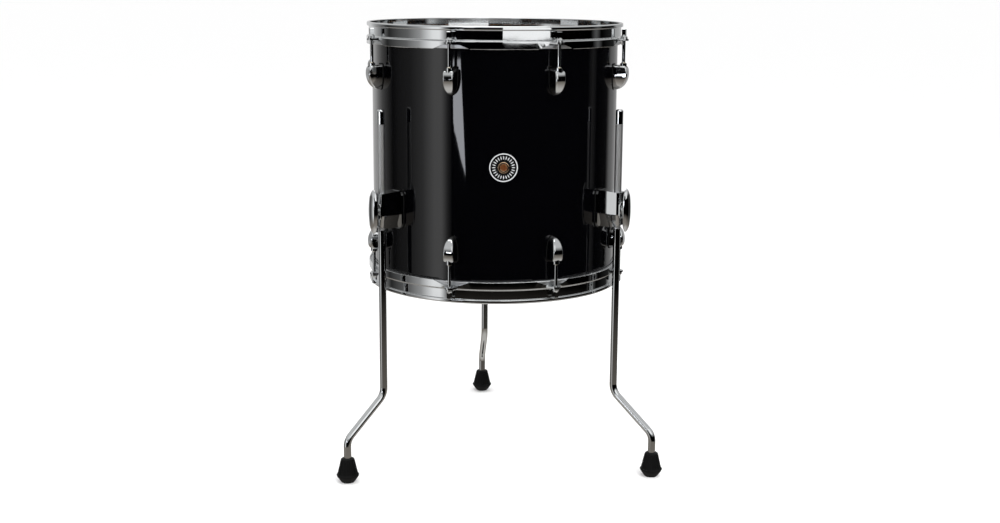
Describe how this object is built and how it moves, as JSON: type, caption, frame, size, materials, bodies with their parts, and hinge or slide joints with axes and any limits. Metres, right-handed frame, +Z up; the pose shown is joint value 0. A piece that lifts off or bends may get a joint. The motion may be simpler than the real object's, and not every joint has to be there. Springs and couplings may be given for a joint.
{
  "type": "floor tom drum",
  "caption": "Floor-standing tom drum: glossy cylindrical shell, a head and chromed hoop at each end tensioned by rods and lugs, on three height-adjustable bent legs with rubber feet.",
  "frame": {"origin": "on the floor, under the middle of the whole object's box; the drum's own axis is vertical and 58.2 mm in front of it", "axes": "+Z up, -Y the front that carries the badge, +X to the right seen from the front"},
  "size_m": [0.5308, 0.5402, 0.7274],
  "materials": {
    "black_lacquered_wood": "gloss black lacquer over hardwood ply",
    "clear_film": "clear polyester film",
    "aluminium_channel": "satin",
    "mirror_chrome": "bright chrome plate on steel",
    "chromed_zinc": "bright chrome plate on die-cast zinc",
    "black_gasket": "matt",
    "nickel_brass": "nickel plate on brass",
    "zinc_steel": "zinc plate",
    "badge_metal": "bright rim and marks on black enamel",
    "black_rubber": "moulded, matt"
  },
  "bodies": {
    "drum": {"shell": "black_lacquered_wood", "batter_head": "clear_film", "resonant_head": "clear_film", "batter_flesh_hoop": "aluminium_channel", "resonant_flesh_hoop": "aluminium_channel", "top_hoop": "mirror_chrome", "bottom_hoop": "mirror_chrome", "lugs_top": "chromed_zinc", "lugs_bottom": "chromed_zinc", "lug_gaskets_top": "black_gasket", "lug_gaskets_bottom": "black_gasket", "swivel_nuts_top": "nickel_brass", "swivel_nuts_bottom": "nickel_brass", "lug_screws": "zinc_steel", "lug_screw_washers": "zinc_steel", "tension_washers_top": "mirror_chrome", "tension_washers_bottom": "mirror_chrome", "badge": "badge_metal", "vent_grommet": "nickel_brass", "bracket_screws": "zinc_steel", "bracket_screw_washers": "zinc_steel", "bracket_left": "chromed_zinc", "bracket_gasket_left": "black_gasket", "eye_bolt_left": "mirror_chrome", "clamp_saddle_left": "mirror_chrome", "bracket_right": "chromed_zinc", "bracket_gasket_right": "black_gasket", "eye_bolt_right": "mirror_chrome", "clamp_saddle_right": "mirror_chrome", "bracket_rear": "chromed_zinc", "bracket_gasket_rear": "black_gasket", "eye_bolt_rear": "mirror_chrome", "clamp_saddle_rear": "mirror_chrome"},
    "leg_left": {"leg_left": "mirror_chrome", "rubber_foot_left": "black_rubber"},
    "wing_nut_left": {"wing_nut_left": "chromed_zinc"},
    "leg_right": {"leg_right": "mirror_chrome", "rubber_foot_right": "black_rubber"},
    "wing_nut_right": {"wing_nut_right": "chromed_zinc"},
    "leg_rear": {"leg_rear": "mirror_chrome", "rubber_foot_rear": "black_rubber"},
    "wing_nut_rear": {"wing_nut_rear": "chromed_zinc"},
    "tension_rod_top_1": {"tension_rod_top_1": "mirror_chrome"},
    "tension_rod_top_2": {"tension_rod_top_2": "mirror_chrome"},
    "tension_rod_top_3": {"tension_rod_top_3": "mirror_chrome"},
    "tension_rod_top_4": {"tension_rod_top_4": "mirror_chrome"},
    "tension_rod_top_5": {"tension_rod_top_5": "mirror_chrome"},
    "tension_rod_top_6": {"tension_rod_top_6": "mirror_chrome"},
    "tension_rod_top_7": {"tension_rod_top_7": "mirror_chrome"},
    "tension_rod_top_8": {"tension_rod_top_8": "mirror_chrome"},
    "tension_rod_bottom_1": {"tension_rod_bottom_1": "mirror_chrome"},
    "tension_rod_bottom_2": {"tension_rod_bottom_2": "mirror_chrome"},
    "tension_rod_bottom_3": {"tension_rod_bottom_3": "mirror_chrome"},
    "tension_rod_bottom_4": {"tension_rod_bottom_4": "mirror_chrome"},
    "tension_rod_bottom_5": {"tension_rod_bottom_5": "mirror_chrome"},
    "tension_rod_bottom_6": {"tension_rod_bottom_6": "mirror_chrome"},
    "tension_rod_bottom_7": {"tension_rod_bottom_7": "mirror_chrome"},
    "tension_rod_bottom_8": {"tension_rod_bottom_8": "mirror_chrome"}
  },
  "joints": [
    {"name": "leg_left_height", "type": "slide", "parent": "drum", "child": "leg_left", "axis": [0, 0, 1], "range_m": [-0.105, 0.25]},
    {"name": "wing_nut_left_turn", "type": "hinge", "parent": "drum", "child": "wing_nut_left", "pos_m": [-0.19734, -0.20691, 0.4355], "axis": [-0.7986, -0.6018, 0], "continuous": true},
    {"name": "leg_right_height", "type": "slide", "parent": "drum", "child": "leg_right", "axis": [0, 0, 1], "range_m": [-0.105, 0.25]},
    {"name": "wing_nut_right_turn", "type": "hinge", "parent": "drum", "child": "wing_nut_right", "pos_m": [0.19734, -0.20691, 0.4355], "axis": [0.7986, -0.6018, 0], "continuous": true},
    {"name": "leg_rear_height", "type": "slide", "parent": "drum", "child": "leg_rear", "axis": [0, 0, 1], "range_m": [-0.105, 0.25]},
    {"name": "wing_nut_rear_turn", "type": "hinge", "parent": "drum", "child": "wing_nut_rear", "pos_m": [0, 0.1889, 0.4355], "axis": [0, 1, 0], "continuous": true},
    {"name": "tension_rod_top_1_turn", "type": "hinge", "parent": "drum", "child": "tension_rod_top_1", "pos_m": [0.08381, -0.26053, 0.7034], "axis": [0, 0, 1], "continuous": true},
    {"name": "tension_rod_top_2_turn", "type": "hinge", "parent": "drum", "child": "tension_rod_top_2", "pos_m": [0.20233, -0.14201, 0.7034], "axis": [0, 0, 1], "continuous": true},
    {"name": "tension_rod_top_3_turn", "type": "hinge", "parent": "drum", "child": "tension_rod_top_3", "pos_m": [0.20233, 0.02561, 0.7034], "axis": [0, 0, 1], "continuous": true},
    {"name": "tension_rod_top_4_turn", "type": "hinge", "parent": "drum", "child": "tension_rod_top_4", "pos_m": [0.08381, 0.14413, 0.7034], "axis": [0, 0, 1], "continuous": true},
    {"name": "tension_rod_top_5_turn", "type": "hinge", "parent": "drum", "child": "tension_rod_top_5", "pos_m": [-0.08381, 0.14413, 0.7034], "axis": [0, 0, 1], "continuous": true},
    {"name": "tension_rod_top_6_turn", "type": "hinge", "parent": "drum", "child": "tension_rod_top_6", "pos_m": [-0.20233, 0.02561, 0.7034], "axis": [0, 0, 1], "continuous": true},
    {"name": "tension_rod_top_7_turn", "type": "hinge", "parent": "drum", "child": "tension_rod_top_7", "pos_m": [-0.20233, -0.14201, 0.7034], "axis": [0, 0, 1], "continuous": true},
    {"name": "tension_rod_top_8_turn", "type": "hinge", "parent": "drum", "child": "tension_rod_top_8", "pos_m": [-0.08381, -0.26053, 0.7034], "axis": [0, 0, 1], "continuous": true},
    {"name": "tension_rod_bottom_1_turn", "type": "hinge", "parent": "drum", "child": "tension_rod_bottom_1", "pos_m": [0.08381, -0.26053, 0.321], "axis": [0, 0, 1], "continuous": true},
    {"name": "tension_rod_bottom_2_turn", "type": "hinge", "parent": "drum", "child": "tension_rod_bottom_2", "pos_m": [0.20233, -0.14201, 0.321], "axis": [0, 0, 1], "continuous": true},
    {"name": "tension_rod_bottom_3_turn", "type": "hinge", "parent": "drum", "child": "tension_rod_bottom_3", "pos_m": [0.20233, 0.02561, 0.321], "axis": [0, 0, 1], "continuous": true},
    {"name": "tension_rod_bottom_4_turn", "type": "hinge", "parent": "drum", "child": "tension_rod_bottom_4", "pos_m": [0.08381, 0.14413, 0.321], "axis": [0, 0, 1], "continuous": true},
    {"name": "tension_rod_bottom_5_turn", "type": "hinge", "parent": "drum", "child": "tension_rod_bottom_5", "pos_m": [-0.08381, 0.14413, 0.321], "axis": [0, 0, 1], "continuous": true},
    {"name": "tension_rod_bottom_6_turn", "type": "hinge", "parent": "drum", "child": "tension_rod_bottom_6", "pos_m": [-0.20233, 0.02561, 0.321], "axis": [0, 0, 1], "continuous": true},
    {"name": "tension_rod_bottom_7_turn", "type": "hinge", "parent": "drum", "child": "tension_rod_bottom_7", "pos_m": [-0.20233, -0.14201, 0.321], "axis": [0, 0, 1], "continuous": true},
    {"name": "tension_rod_bottom_8_turn", "type": "hinge", "parent": "drum", "child": "tension_rod_bottom_8", "pos_m": [-0.08381, -0.26053, 0.321], "axis": [0, 0, 1], "continuous": true}
  ]
}
